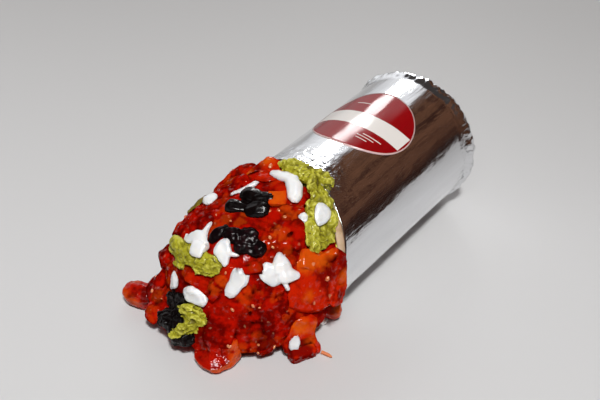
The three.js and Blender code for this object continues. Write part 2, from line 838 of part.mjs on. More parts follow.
function choppedBlocks() {
  const blocks = [];
  const goldenTurn = Math.PI * (3 - Math.sqrt(5));
  for (let index = 0; index < CHOPPED_COUNT; index += 1) {
    const height = 1 - (2 * (index + 0.5)) / CHOPPED_COUNT;
    const turn = goldenTurn * index;
    const flat = Math.sqrt(1 - height * height);
    const direction = new THREE.Vector3(flat * Math.cos(turn), flat * Math.sin(turn), height);
    const foot = heapSurface(HEAP_CENTRE.clone().add(direction));
    const shred = random() < SHRED_SHARE;
    const size = shred
      ? [between(8, 12), between(2.4, 3.4), CHOPPED_DEPTH]
      : [between(4, 6.5), between(3.5, 5), CHOPPED_DEPTH];
    const facing = between(0, 180);
    const lift = between(1, 2.2);
    const inFront = foot.y < mouthAt(foot.x, foot.z) - 7;
    if (foot.z > 6 && inFront && !nearTopping(foot)) {
      blocks.push({ at: foot.toArray(), size, turn: facing, lift });
    }
  }
  return blocks;
}

// ---------------------------------------------------------------- the label

function labelSolid() {
  const steps = 32;
  const outline = new THREE.Shape();
  for (let step = 0; step < steps; step += 1) {
    const turn = (step / steps) * 2 * Math.PI;
    const x = ROLL_RADIUS * Math.sin((LABEL_RADIUS * Math.cos(turn)) / ROLL_RADIUS);
    const y = LABEL_AT + LABEL_RADIUS * Math.sin(turn);
    if (step === 0) {
      outline.moveTo(x, y);
    } else {
      outline.lineTo(x, y);
    }
  }
  const depth = ROLL_RADIUS * 2;
  const cutter = bare(new THREE.ExtrudeGeometry(outline, { depth, bevelEnabled: false }));
  cutter.translate(0, 0, AXIS_HEIGHT);
  const outer = rollWall(-GAP - LABEL_THICKNESS, 0, ROLL_END, 1);
  const inner = rollWall(-GAP, 0, ROLL_END, 1);
  return solid(closedTube([...outer, ...inner.reverse()])).intersect(solid(cutter));
}

// ---------------------------------------------------------------- the whole

const burrito = new THREE.Group();

function addPiece(name, finish, manifold) {
  const mesh = new THREE.Mesh(
    geometryOf(mainBody(manifold)),
    new THREE.MeshStandardMaterial(COLOURS[finish]),
  );
  mesh.name = name;
  burrito.add(mesh);
}

function addFood(name, finish, manifold) {
  addPiece(name, finish, manifold.simplify(FACE_TOLERANCE));
}

const foil = solid(rollShell(0, FOIL_THICKNESS, 0, ROLL_STATIONS));
const tortilla = solid(
  rollShell(TORTILLA_INSET, TORTILLA_THICKNESS, -TORTILLA_LIP, ROLL_STATIONS / 2),
);
const core = solid(rollCore(CORE_INSET, CORE_START));
const wrapping = joined([
  solid(rollCore(-BED_GAP - 2 * CREASE_DEPTH, -BED_GAP)),
  solid(rollCore(TORTILLA_INSET - BED_GAP, -TORTILLA_LIP - BED_GAP)),
]).subtract(solid(rollCore(CORE_INSET + BED_GAP - GAP, -2 * TORTILLA_LIP)));
const chopped = choppedBlocks();
const layered = TOPPINGS.filter((kind) => kind.layer);
const lying = TOPPINGS.filter((kind) => !kind.layer);

// The filling with room for the toppings that run on into the roll.
function fillingSolid(grow) {
  const heap = joined([
    heapBody(grow),
    ...chopped.map((dice) => block(dice, grow)),
    ...LUMPS.map((lump) => dollop(lump, grow)),
  ]);
  const beds = joined(layered.map((kind) => topping(kind, BED_GAP)));
  const sleeve = solid(rollSleeve(BED_GAP - grow));
  return heap.subtract(sleeve).add(core).subtract(beds);
}

layered.forEach((kind) => addFood(kind.name, kind.finish, topping(kind).subtract(wrapping)));

// Each of the others lies on all that is under it.
const beneath = layered.map((kind) => topping(kind, BED_GAP));
let laid = joined([wrapping, fillingSolid(BED_GAP), ...beneath]).simplify(FACE_TOLERANCE);
lying.forEach((kind) => {
  addFood(kind.name, kind.finish, topping(kind).subtract(laid));
  laid = laid.add(topping(kind, BED_GAP)).simplify(FACE_TOLERANCE);
});

addFood("filling", "sauce", fillingSolid(0));
addPiece("tortilla", "tortilla", tortilla);
addPiece("foil", "foil", foil);
addPiece("label", "label", labelSolid());

const box = new THREE.Box3().setFromObject(burrito);
burrito.position.set(-(box.min.x + box.max.x) / 2, -(box.min.y + box.max.y) / 2, -box.min.z);

export default burrito;
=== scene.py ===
import math
import random

import bmesh
import bpy
from mathutils import Matrix, Vector, noise
from mathutils.bvhtree import BVHTree
from mathutils.geometry import intersect_point_line
from mathutils.kdtree import KDTree


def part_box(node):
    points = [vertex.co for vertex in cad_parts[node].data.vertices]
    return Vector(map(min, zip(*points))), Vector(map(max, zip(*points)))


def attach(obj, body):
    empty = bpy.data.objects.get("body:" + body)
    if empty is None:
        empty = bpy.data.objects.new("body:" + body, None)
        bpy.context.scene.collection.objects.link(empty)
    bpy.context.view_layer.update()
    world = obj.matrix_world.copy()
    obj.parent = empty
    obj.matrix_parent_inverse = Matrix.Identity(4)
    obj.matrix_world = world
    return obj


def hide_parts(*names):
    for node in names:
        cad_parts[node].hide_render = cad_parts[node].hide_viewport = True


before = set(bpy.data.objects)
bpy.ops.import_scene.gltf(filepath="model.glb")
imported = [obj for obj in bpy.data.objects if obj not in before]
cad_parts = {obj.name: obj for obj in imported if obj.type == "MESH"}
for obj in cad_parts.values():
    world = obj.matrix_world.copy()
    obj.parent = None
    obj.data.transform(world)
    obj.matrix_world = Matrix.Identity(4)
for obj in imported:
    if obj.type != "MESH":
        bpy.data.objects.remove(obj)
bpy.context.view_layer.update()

# A foil-wrapped burrito on its side, with its filling spilled out of the open end.
# Metres. The roll lies along Y with its closed end at +Y. Places that are listed, and the
# sizes of chopped pieces, are in millimetres, and at() turns them to metres.

MM = 0.001
ROLL_RADIUS = 35 * MM
AXIS_HEIGHT = 34.6 * MM
MOUTH_SLANT = 0.25  # the mouth leans back by this much, up and to the left
FOIL_THICKNESS = 0.8 * MM
FOIL_LIP = 0.25 * MM  # the foil's thickness at its mouth
TORTILLA_INSET = 1.15 * MM
TORTILLA_THICKNESS = 1.9 * MM
TORTILLA_REACH = 2.6 * MM  # how far the tortilla stands out of the foil
END_ROUNDING = 5 * MM  # from the closed end back to where the straight wall stops
END_CORNER = 2.6 * MM  # radius of the closed end's edge
END_DOME = 1 * MM  # how far the closed end swells
INNER_CORNER = 2 * MM
LIP_DEPTH = 3 * MM  # how far in the wall has thinned towards its lip
SPILL_DEPTH = 10 * MM  # how far inside the mouth the spilled filling meets the rolled one
LABEL_THICKNESS = 0.25 * MM

foil_low, foil_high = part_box("foil")
AXIS_X = (foil_low.x + foil_high.x) / 2
MOUTH_Y = foil_low.y + MOUTH_SLANT * ROLL_RADIUS * math.sqrt(2)
END_Y = foil_high.y
MOUTH = Vector((AXIS_X, MOUTH_Y, 0))
label_low, label_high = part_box("label")
LABEL_RADIUS = (label_high.y - label_low.y) / 2
LABEL_Y = (label_high.y + label_low.y) / 2

chance = random.Random(41)
noise.seed_set(41)  # noise_vector() would otherwise differ from run to run


# ---------------------------------------------------------------- shader graphs


class Value:
    """A shader socket. Each operator on it adds one Math node."""

    def __init__(self, graph, socket):
        self.graph = graph
        self.socket = socket

    def __add__(self, other):
        return self.graph.maths("ADD", self, other)

    __radd__ = __add__

    def __sub__(self, other):
        return self.graph.maths("SUBTRACT", self, other)

    def __rsub__(self, other):
        return self.graph.maths("SUBTRACT", other, self)

    def __mul__(self, other):
        return self.graph.maths("MULTIPLY", self, other)

    __rmul__ = __mul__

    def rise(self, low, high):
        """0 below low, 1 above high, and a smooth slope between."""
        settings = {"interpolation_type": "SMOOTHSTEP"}
        return self.graph.node(
            "ShaderNodeMapRange", settings, {"Value": self, "From Min": low, "From Max": high}
        )

    def fall(self, low, high):
        """1 below low, 0 above high, and a smooth slope between."""
        return 1 - self.rise(low, high)

    def between(self, low, high, soft):
        """1 from low to high and 0 outside, with soft edges."""
        return self.rise(low - soft, low + soft) * self.fall(high - soft, high + soft)


class Graph:
    """A node tree that is written as expressions."""

    def __init__(self, tree):
        self.tree = tree

    def feed(self, socket, value):
        if isinstance(value, Value):
            self.tree.links.new(value.socket, socket)
        else:
            socket.default_value = value

    def node(self, kind, settings=None, inputs=None, out=0):
        """Adds a node, sets it, feeds its sockets, and gives one of its outputs."""
        made = self.tree.nodes.new(kind)
        for name, setting in (settings or {}).items():
            if name == "stops":
                ramp = made.color_ramp
                while len(ramp.elements) < len(setting):
                    ramp.elements.new(1)
                for element, (position, colour) in zip(ramp.elements, setting):
                    element.position = position
                    element.color = (*colour, 1)
            else:
                setattr(made, name, setting)
        for key, value in (inputs or {}).items():
            self.feed(made.inputs[key], value)
        return Value(self, made.outputs[out])

    def maths(self, operation, *numbers, clamp=False):
        settings = {"operation": operation, "use_clamp": clamp}
        return self.node("ShaderNodeMath", settings, dict(enumerate(numbers)))

    def parts(self, vector, count):
        """The first coordinates of a vector, each as a value of its own."""
        kind = "ShaderNodeSeparateXYZ"
        return [self.node(kind, {}, {0: vector}, out=axis) for axis in range(count)]

    def mix(self, share, first, second):
        """A blend of two colours."""
        colours = [c if isinstance(c, Value) else (*c, 1) for c in (first, second)]
        settings = {"data_type": "RGBA"}
        return self.node("ShaderNodeMix", settings, {0: share, 6: colours[0], 7: colours[1]}, out=2)

    def ramp(self, share, *stops):
        return self.node("ShaderNodeValToRGB", {"stops": stops}, {"Fac": share})


class Finish(Graph):
    """A Principled material. Sockets named here are the same all over the piece."""

    def __init__(self, name, **sockets):
        self.material = bpy.data.materials.new(name)
        self.material.use_nodes = True
        super().__init__(self.material.node_tree)
        self.shader = self.tree.nodes["Principled BSDF"]
        for socket, value in sockets.items():
            self.shader.inputs[socket.replace("_", " ")].default_value = value
        self.place = self.node("ShaderNodeTexCoord", out=3)  # Object coordinates

    def set(self, socket, value):
        self.feed(self.shader.inputs[socket], value)

    def attribute(self, name):
        return self.node("ShaderNodeAttribute", {"attribute_name": name}, out=2)

    def stretched(self, scale):
        """Object coordinates drawn out by a scale along each axis."""
        return self.node("ShaderNodeMapping", {}, {"Vector": self.place, "Scale": scale})

    def mottle(self, size, detail=3.0, roughness=0.55, place=None):
        """Soft noise with features of a given size in metres."""
        inputs = {
            "Vector": place or self.place,
            "Scale": 1 / size,
            "Detail": detail,
            "Roughness": roughness,
        }
        return self.node("ShaderNodeTexNoise", {}, inputs)

    def bump(self, height, depth, strength=1.0):
        inputs = {"Height": height, "Distance": depth, "Strength": strength}
        self.set("Normal", self.node("ShaderNodeBump", {}, inputs))


# ---------------------------------------------------------------- shapes


def copy_of(node):
    """A CAD node's faces, with their loose corners merged."""
    shape = bmesh.new()
    shape.from_mesh(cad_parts[node].data)
    bmesh.ops.remove_doubles(shape, verts=shape.verts, dist=1e-7)
    return shape


def changed(shape, *steps):
    """A new shape: the old one after modifiers, each given as its kind and settings."""
    mesh = bpy.data.meshes.new("draft")
    shape.to_mesh(mesh)
    draft = bpy.data.objects.new("draft", mesh)
    bpy.context.scene.collection.objects.link(draft)
    for kind, settings in steps:
        modifier = draft.modifiers.new(kind, kind)
        for name, setting in settings.items():
            setattr(modifier, name, setting)
    finished = draft.evaluated_get(bpy.context.evaluated_depsgraph_get())
    made = bmesh.new()
    made.from_mesh(finished.to_mesh())
    bpy.data.objects.remove(draft)
    bpy.data.meshes.remove(mesh)
    return made


def even(shape, square, rounds):
    """The shape drawn again in small even squares and softened."""
    made = changed(
        shape,
        ("REMESH", {"mode": "VOXEL", "voxel_size": square}),
        ("SMOOTH", {"factor": 0.5, "iterations": rounds}),
    )
    shape.free()
    return made


def hollowed(shape, rounds, depth):
    """Stores how deep each corner lies: 0.5 on the level around it, 1 at a depth below it. The
    finishes paint shade into the hollows by it.
    """
    smoother = changed(shape, ("SMOOTH", {"factor": 0.5, "iterations": rounds}))
    shape.normal_update()
    layer = shape.verts.layers.float.new("hollow")
    for vert, level_vert in zip(shape.verts, smoother.verts):
        below = (level_vert.co - vert.co).dot(vert.normal)
        vert[layer] = min(max(0.5 + 0.5 * below / depth, 0), 1)
    smoother.free()
    return shape


def bumps(size, depth):
    """A rule for pushed(): soft hills of a size and height."""
    return lambda place, _: depth * noise.noise(place / size)


def torn(size, depth, stretch=(1, 1, 1)):
    """A rule for pushed(): large and small ragged flakes, one on the other."""

    def push(place, _):
        drawn_out = Vector(a / b for a, b in zip(place, stretch)) / size
        return depth * (noise.turbulence(drawn_out, 4, True, amplitude_scale=0.55) - 0.8)

    return push


def spun(points, centre, axis, steps):
    """An open line of points turned full round an axis."""
    shape = bmesh.new()
    corners = [shape.verts.new(point) for point in points]
    for first, second in zip(corners, corners[1:]):
        shape.edges.new((first, second))
    bmesh.ops.spin(
        shape,
        geom=shape.verts[:] + shape.edges[:],
        cent=centre,
        axis=axis,
        angle=math.tau,
        steps=steps,
        use_merge=True,
    )
    bmesh.ops.remove_doubles(shape, verts=shape.verts, dist=1e-6)
    bmesh.ops.recalc_face_normals(shape, faces=shape.faces)
    return shape


def pushed(shape, *rules):
    """Moves each corner along its normal by the sum of the rules, but not below the table."""
    shape.normal_update()
    moves = [
        vert.normal * sum(rule(vert.co, vert.normal) for rule in rules) for vert in shape.verts
    ]
    for vert, move in zip(shape.verts, moves):
        vert.co += move
        vert.co.z = max(vert.co.z, 0)
    return shape


def marked(shape, name, rule):
    """Stores a number at each corner, for the finish to read."""
    layer = shape.verts.layers.float.new(name)
    for vert in shape.verts:
        vert[layer] = rule(vert.co, vert.normal)
    return shape


def ease(value, low, high):
    """0 below low, 1 above high, and a smooth slope between."""
    share = min(max((value - low) / (high - low), 0), 1)
    return share * share * (3 - 2 * share)


def at(x, y, z):
    """A place given in millimetres from the table under the middle of the mouth."""
    return MOUTH + Vector((x, y, z)) * MM


def fold(start, end, width, height):
    """A rule for pushed(): a ridge along a line, or a groove where the height is below 0."""
    start, end = at(*start), at(*end)

    def push(place, _):
        nearest, share = intersect_point_line(place, start, end)
        nearest = start.lerp(end, min(max(share, 0), 1))
        return height * MM * (1 - ease((place - nearest).length, 0, width * MM))

    return push


def spots(*places, ragged=0.4):
    """A rule for marked(): 1 inside any of the ragged round spots (x, y, z, radius)."""
    rounds = [(at(x, y, z), radius * MM) for x, y, z, radius in places]

    def rule(place, _):
        wobble = 1 + ragged * noise.noise(place / (2.5 * MM))
        inside = (radius * wobble - (place - centre).length for centre, radius in rounds)
        return ease(max(inside, default=-math.inf), -2.5 * MM, 2.5 * MM)

    return rule


def specks(size, amount, low=0.6, start=0.0):
    """A rule for marked(): a few specks of a size in mm, over a starting value."""
    return lambda place, _: start + amount * ease(noise.noise(place / (size * MM)), low, 0.75)


def piece(name, shape, finish, slot, *nodes):
    """Makes a shape one of the object's pieces, standing for CAD nodes."""
    mesh = bpy.data.meshes.new(name)
    shape.to_mesh(mesh)
    shape.free()
    mesh.shade_smooth()
    mesh.materials.append(finish.material)
    made = bpy.data.objects.new(name, mesh)
    bpy.context.scene.collection.objects.link(made)
    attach(made, "root")
    if nodes:
        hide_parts(*nodes)
    return made


# ---------------------------------------------------------------- finishes


def foil_finish():
    look = Finish("rolled foil", Metallic=1.0)
    grain = look.mottle(0.9 * MM, 2, 0.5, look.stretched((1, 0.06, 1)))
    streaks = look.mottle(4 * MM, 3, 0.6, look.stretched((1, 0.1, 1)))
    dents = look.mottle(6 * MM, 3, 0.55, look.stretched((1, 0.45, 1)))
    scribble = look.mottle(2.2 * MM, 3, 0.6, look.stretched((1, 0.7, 1)))
    crumpled = look.attribute("crumpled")
    look.set("Base Color", look.mix(streaks, (0.72, 0.73, 0.75), (0.88, 0.89, 0.91)))
    look.set("Roughness", 0.07 + 0.12 * grain)
    look.bump(grain * 0.15 + streaks * 0.5 + dents + crumpled * scribble * 3, 0.35 * MM, 0.55)
    return look


LABEL_PRINT = [
    # low, high, left and right edge in mm from the sticker's middle: the banner, then the lines
    (-8.1, 3.6, -24.3, 24.3),
    (-12.6, -12.0, 7, 17),
    (-14.6, -14.1, 5, 14),
    (-16.8, -16.3, 5.5, 11.5),
    (12.2, 12.8, -12, -4),
]


def label_finish():
    """Red sticker with a pale rim, a plain banner across it and short fine lines."""
    gloss = {"Coat_Weight": 0.8, "Coat_Roughness": 0.15}
    look = Finish("glossy sticker", Roughness=0.5, Specular_IOR_Level=0.0, **gloss)
    flat = look.node("ShaderNodeUVMap", {"uv_map": "flat"})
    across, along = look.parts(flat, 2)
    bowed = along - 0.004 * across * across
    printed = sum(
        bowed.between(low, high, 0.12) * across.between(left, right, 0.12)
        for low, high, left, right in LABEL_PRINT
    )
    from_middle = look.node("ShaderNodeVectorMath", {"operation": "LENGTH"}, {0: flat}, out=1)
    rim = from_middle.rise(LABEL_RADIUS / MM - 0.75, LABEL_RADIUS / MM - 0.55)
    worn = look.mottle(3 * MM, 3, 0.6, look.stretched((1, 0.2, 1)))
    red = look.mix(worn, (0.24, 0.0012, 0.003), (0.3, 0.002, 0.005))
    white = (0.8, 0.76, 0.72)
    colour = look.mix(look.maths("MINIMUM", printed, 1.0), red, white)
    look.set("Base Color", look.mix(rim, colour, (0.72, 0.5, 0.48)))
    look.bump(worn, 0.15 * MM, 0.5)
    return look


def tortilla_finish():
    look = Finish("soft tortilla", Roughness=0.7, Subsurface_Weight=0.1)
    toast = look.mottle(7 * MM, 5)
    flour = look.mottle(1.2 * MM, 3)
    dough = look.mix(toast.rise(0.5, 0.72), (0.62, 0.4, 0.24), (0.42, 0.21, 0.08))
    look.set("Base Color", look.mix(flour * 0.3, dough, (0.8, 0.62, 0.46)))
    look.bump(flour + toast, 0.3 * MM, 0.5)
    return look


def sauce_finish(name, deep, bright, orange, dry):
    """Sauce over chopped pieces. The attribute ripe marks where orange pepper shows through,
    and tone makes a piece brighter or darker than its neighbours; on peppers and tomatoes it
    also carries painted shade. Hollows are painted dark as shade. The higher dry is, the
    smaller are the patches with a wet coat."""
    look = Finish(
        name,
        Specular_IOR_Level=0.0,
        Coat_Roughness=0.07,
        Subsurface_Weight=0.05,
        Subsurface_Radius=(1.0, 0.1, 0.02),
        Subsurface_Scale=1.5 * MM,
    )
    film = look.mottle(8 * MM, 3, 0.5)
    fine = look.mottle(2 * MM, 3, 0.5)
    grit = look.mottle(0.8 * MM, 2, 0.5)
    wet = look.mottle(2.6 * MM, 3, 0.6)
    hollow = look.attribute("hollow")
    tone = film * 0.8 + fine * 0.2 + look.attribute("tone") * 0.1
    sauce = look.mix(tone.rise(0.36, 0.62), deep, bright)
    ripe = look.attribute("ripe")
    flesh = look.maths("MULTIPLY", ripe, 0.5 + 0.5 * fine, clamp=True)
    colour = look.mix(flesh, sauce, orange)
    # pale specks, and on the pepper strand a painted highlight
    colour = look.mix(look.attribute("pale"), colour, (0.82, 0.42, 0.22))
    # painted shade: the colour goes almost to black where the surface lies in a hollow
    colour = look.mix(hollow.rise(0.48, 0.85) * 0.95, colour, (0.03, 0.0008, 0.0005))
    look.set("Base Color", colour)
    look.set("Roughness", 0.14 + 0.2 * fine)
    look.set("Coat Weight", wet.rise(dry, dry + 0.08) * hollow.fall(0.4, 0.65) * 0.8)
    look.bump(fine * 0.5 + film + grit * 0.2, 0.3 * MM, 0.55)
    return look


def guacamole_finish(name, deep, bright, ridge):
    look = Finish(
        name,
        Specular_IOR_Level=0.15,
        Coat_Roughness=0.12,
        Subsurface_Weight=0.1,
        Subsurface_Radius=(1.0, 0.9, 0.2),
        Subsurface_Scale=1.5 * MM,
    )
    patches = look.mottle(5 * MM, 4, 0.6)
    fine = look.mottle(1.2 * MM, 4, 0.65)
    hollow = look.attribute("hollow")
    mash = look.mix(patches.rise(0.3, 0.72), deep, bright)
    mash = look.mix(fine.rise(0.6, 0.8) * 0.4, mash, ridge)
    # painted highlight: the ridges between hollows are lightened towards the ridge colour
    mash = look.mix(hollow.fall(0.1, 0.5) * 0.6, mash, ridge)
    # painted shade: the creases are darkened almost to dark olive
    mash = look.mix(hollow.rise(0.5, 0.95) * 0.9, mash, (0.08, 0.06, 0.003))
    look.set("Base Color", mash)
    look.set("Roughness", 0.4 + 0.25 * fine)
    look.set("Coat Weight", patches.rise(0.5, 0.6) * 0.4)
    look.bump(fine + patches, 0.4 * MM, 0.6)
    return look


def bean_finish(name, skin, blush, gloss):
    look = Finish(name, Specular_IOR_Level=0.05, Coat_Roughness=0.12)
    patches = look.mottle(4 * MM, 3)
    fine = look.mottle(0.8 * MM, 3)
    hollow = look.attribute("hollow")
    colour = look.mix(patches.rise(0.45, 0.8), skin, blush)
    # painted shade: the colour goes almost to black where the surface lies in a hollow
    look.set("Base Color", look.mix(hollow.rise(0.5, 0.9), colour, (0.002, 0.001, 0.001)))
    look.set("Roughness", 0.22 + 0.2 * fine)
    look.set("Coat Weight", patches.rise(0.3, 0.5) * hollow.fall(0.45, 0.7) * gloss)
    look.bump(fine * 0.5 + patches, 0.25 * MM, 0.5)
    return look


def cream_finish():
    look = Finish(
        "sour cream",
        Roughness=0.32,
        Coat_Weight=0.3,
        Coat_Roughness=0.15,
        Subsurface_Weight=0.8,
        Subsurface_Radius=(1.0, 0.9, 0.8),
        Subsurface_Scale=4 * MM,
    )
    cloud = look.mottle(4 * MM, 3)
    look.set("Base Color", look.mix(cloud, (0.93, 0.91, 0.87), (0.98, 0.97, 0.94)))
    look.bump(look.mottle(1.6 * MM, 2), 0.1 * MM, 0.4)
    return look


# ---------------------------------------------------------------- the roll


def slanted(x, z):
    """How far behind the middle of the mouth its slanting edge is at a place on the roll."""
    return MOUTH_SLANT * (z - AXIS_HEIGHT - (x - AXIS_X))


def stations(start, end, step):
    """Even stops from start to end, about a step apart."""
    count = max(1, round(abs(end - start) / step))
    return [start + (end - start) * index / count for index in range(count + 1)]


def cup(radius, thickness, lip, front, back, fine, steps):
    """A round cup about the roll's axis. Its profile runs out along the wall from the mouth
    to the closed end, and back along the inside. lip is the wall's thickness at the mouth."""
    wall_end = back - END_ROUNDING
    profile = [(radius, y) for y in stations(front, wall_end, fine)]
    rim = radius - END_CORNER
    for angle in stations(0, math.pi / 2, math.pi / 16)[1:]:
        out, along = END_CORNER * math.cos(angle), END_CORNER * math.sin(angle)
        profile.append((rim + out, wall_end + along))
    cap = wall_end + END_CORNER - 0.2 * END_DOME
    for r in stations(rim, 0, 1.2 * MM)[1:]:
        profile.append((r, cap + END_DOME * math.cos(math.pi / 2 * r / radius)))
    inner = radius - thickness
    profile += [(0, wall_end), (inner - INNER_CORNER, wall_end)]
    stop = front + LIP_DEPTH + 2 * MM
    profile += [(inner, y) for y in stations(wall_end - INNER_CORNER, stop, 8 * MM)]
    profile += [(inner, front + LIP_DEPTH), (radius - lip, front)]
    profile += [(radius - lip * 0.4, front - lip * 0.5), (radius, front)]
    points = [(AXIS_X, y, AXIS_HEIGHT + r) for r, y in profile]
    return spun(points, (AXIS_X, 0, AXIS_HEIGHT), (0, 1, 0), steps)


def round_roll(angle, size):
    """A place round the roll at a turn from its top, for noise with features of a size in mm."""
    return Vector((math.sin(angle), math.cos(angle), 0)) * (ROLL_RADIUS / MM / size)


def laid_roll(shape, relief):
    """Slants the mouth, presses the wall by a relief rule and flattens it on the table."""
    for vert in shape.verts:
        x, y, z = vert.co
        out = Vector((x - AXIS_X, 0, z - AXIS_HEIGHT))
        angle = math.atan2(out.x, out.z)
        rise, along = relief(angle, y, out.length)
        if out.length > 1e-6:
            out = out * (1 + rise / out.length)
        share = min(max((y - MOUTH_Y) / (END_Y - END_ROUNDING - MOUTH_Y), 0), 1)
        slant = slanted(x, z) * (1 - share)
        vert.co = Vector((AXIS_X + out.x, y + slant + along, max(AXIS_HEIGHT + out.z, 0)))
    return shape


def crumpling(angle, y):
    """How crumpled the foil is by its mouth and by its closed end, from 1 there to 0 along
    the wall between. The mouth stays smooth on its right side."""
    by_mouth = 1 - ease(y - MOUTH_Y, 2 * MM, 26 * MM)
    by_mouth *= 1 - 0.9 * ease(angle, 0.5, 0.9) * (1 - ease(angle, 1.7, 2.2))
    by_end = 1 - ease(END_Y - y, 4 * MM, 9 * MM)
    return by_mouth, by_end


def foil_relief(angle, y, radius):
    """Creases by the mouth, long soft dents, and folds gathered over the closed end. Gives
    how far a place moves out from the axis, and how far along it."""

    def dents(size, length, shift_x=0, shift_y=0):
        return noise.noise(round_roll(angle, size) + Vector((shift_x, shift_y, y / MM / length)))

    crumple = abs(dents(5, 4, 0, 9)) - 0.2
    kinks = abs(dents(3, 3, 3)) - 0.2
    by_mouth, by_end = crumpling(angle, y)
    out = 0.2 * dents(9, 45) + 0.09 * dents(6, 12, 2) + 0.04 * dents(2.2, 16, 5)
    out += by_mouth * (0.8 * crumple + 0.5 * kinks)
    out += by_end * (1.5 * crumple + 1.4 * kinks + 1.2)
    out *= min(1, radius / (ROLL_RADIUS * 0.8))
    from_end = END_Y - y
    along = 0
    if from_end < 5 * MM:
        share = radius / ROLL_RADIUS
        pleats = abs(math.sin(9 * angle + 5 * share))  # 18 in a spiral
        along = 0.7 * ease(radius, 2 * MM, 14 * MM) * pleats
        along += 1.1 * noise.noise(round_roll(angle, 7) * share)
        along *= 1 - ease(from_end, 3 * MM, 5 * MM)
    if from_end < 2 * MM:
        along -= 0.6  # the cap is pressed in
    return out * MM, along * MM


def make_foil():
    back = END_Y + 1 * MM
    shape = cup(ROLL_RADIUS, FOIL_THICKNESS, FOIL_LIP, MOUTH_Y, back, 1.1 * MM, 300)
    laid_roll(shape, foil_relief)

    def crumpled(place, _):
        angle = math.atan2(place.x - AXIS_X, place.z - AXIS_HEIGHT)
        return max(crumpling(angle, place.y - slanted(place.x, place.z)))

    marked(shape, "crumpled", crumpled)
    piece("foil_wrap", shape, foil_finish(), "foil", "foil")


def tortilla_relief(angle, y, _):
    """A slightly drawn in and wavy edge."""
    by_mouth = 1 - ease(y - MOUTH_Y, 0, 4 * MM)
    return -0.2 * by_mouth * MM, 0.25 * by_mouth * noise.noise(round_roll(angle, 8)) * MM


def make_tortilla():
    radius = ROLL_RADIUS - TORTILLA_INSET
    front, back = MOUTH_Y - TORTILLA_REACH, END_Y - 2.5 * MM
    shape = cup(radius, TORTILLA_THICKNESS, TORTILLA_THICKNESS, front, back, 3 * MM, 160)
    laid_roll(shape, tortilla_relief)
    piece("tortilla_wrap", shape, tortilla_finish(), "tortilla", "tortilla")


def make_label():
    """A thin disc, wrapped over the roll. Its finish reads the flat places, in mm."""
    spokes = [(radius, 0, 0) for radius in stations(0, LABEL_RADIUS, 1.3 * MM)]
    shape = spun(spokes, (0, 0, 0), (0, 0, 1), 120)
    if sum(face.normal.z for face in shape.faces) < 0:  # an open disc may come out face down
        bmesh.ops.reverse_faces(shape, faces=shape.faces)
    flat = shape.loops.layers.uv.new("flat")
    for face in shape.faces:
        for loop in face.loops:
            loop[flat].uv = (loop.vert.co.x / MM, loop.vert.co.y / MM)
    for vert in shape.verts:
        across, along, _ = vert.co
        angle = across / ROLL_RADIUS
        dent, _ = foil_relief(angle, LABEL_Y + along, ROLL_RADIUS)
        radius = ROLL_RADIUS + LABEL_THICKNESS + 0.1 * MM + dent
        x, z = radius * math.sin(angle), radius * math.cos(angle)
        vert.co = Vector((AXIS_X + x, LABEL_Y + along, AXIS_HEIGHT + z))
    made = piece("sticker", shape, label_finish(), "label", "label")
    thick = made.modifiers.new("thickness", "SOLIDIFY")
    thick.thickness = LABEL_THICKNESS
    thick.offset = -1


# ---------------------------------------------------------------- the spilled filling

MAIN_NODES = ("foil", "tortilla", "label", "filling")
TOPPINGS = [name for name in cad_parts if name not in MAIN_NODES]

# The heap without its small lumps, for which way a piece that lies on it faces
level = BVHTree.FromBMesh(even(copy_of("filling"), 2.5 * MM, 12))


def cut_across(shape, y, keep_front):
    """The part of a solid in front of a plane across the roll, or behind it, closed again."""
    cut = bmesh.ops.bisect_plane(
        shape,
        geom=shape.verts[:] + shape.edges[:] + shape.faces[:],
        plane_co=(0, y, 0),
        plane_no=(0, 1, 0),
        clear_outer=keep_front,
        clear_inner=not keep_front,
    )
    edges = [part for part in cut["geom_cut"] if isinstance(part, bmesh.types.BMEdge)]
    bmesh.ops.triangle_fill(shape, use_beauty=True, edges=edges)
    bmesh.ops.recalc_face_normals(shape, faces=shape.faces)
    return shape


def places_on(faces, clear_of, count):
    """Places spread over faces by area, away from the toppings: (point, normal, room)."""
    areas = [face.calc_area() for face in faces]
    places = []
    for face in chance.choices(faces, areas, k=count):
        corners = [vert.co for vert in face.verts]
        a, b = sorted((chance.random(), chance.random()))
        point = corners[0] * a + corners[1] * (b - a) + corners[2] * (1 - b)
        room = clear_of.find_nearest(point)[3]
        apart = all((point - other[0]).length > 2.2 * MM for other in places)
        if point.z > 1.5 * MM and face.normal.z > -0.5 and room > 1.2 * MM and apart:
            places.append((point, face.normal.copy(), room))
    return places


